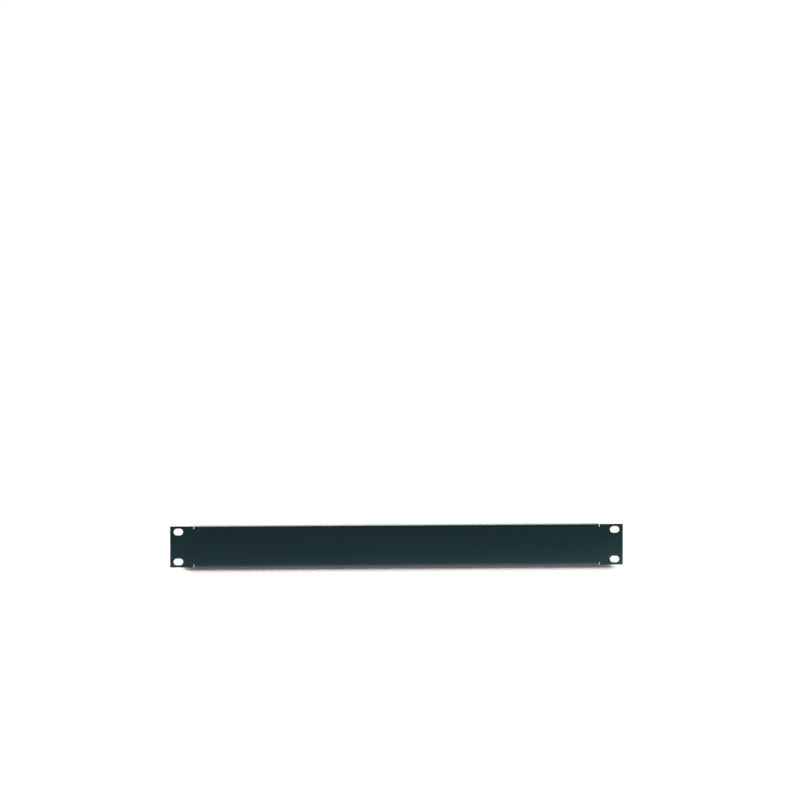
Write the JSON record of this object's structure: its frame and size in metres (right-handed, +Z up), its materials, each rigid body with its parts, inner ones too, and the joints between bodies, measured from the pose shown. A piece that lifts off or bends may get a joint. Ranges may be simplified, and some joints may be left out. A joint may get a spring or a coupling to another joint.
{
  "type": "rack blanking panel",
  "caption": "Folded steel panel with slotted ears and a flange turned back along its top and bottom, for closing an empty space in a server rack.",
  "frame": {"origin": "middle of the four slots, on the plane where the rear of the ears seats on the rack's rails", "axes": "+X across the rack, to the right seen from the front; +Y into the rack; +Z up"},
  "size_m": [0.4826, 0.0127, 0.0436],
  "materials": {
    "powder_coat": "satin"
  },
  "bodies": {
    "root": {"blanking_panel": "powder_coat"}
  },
  "joints": []
}
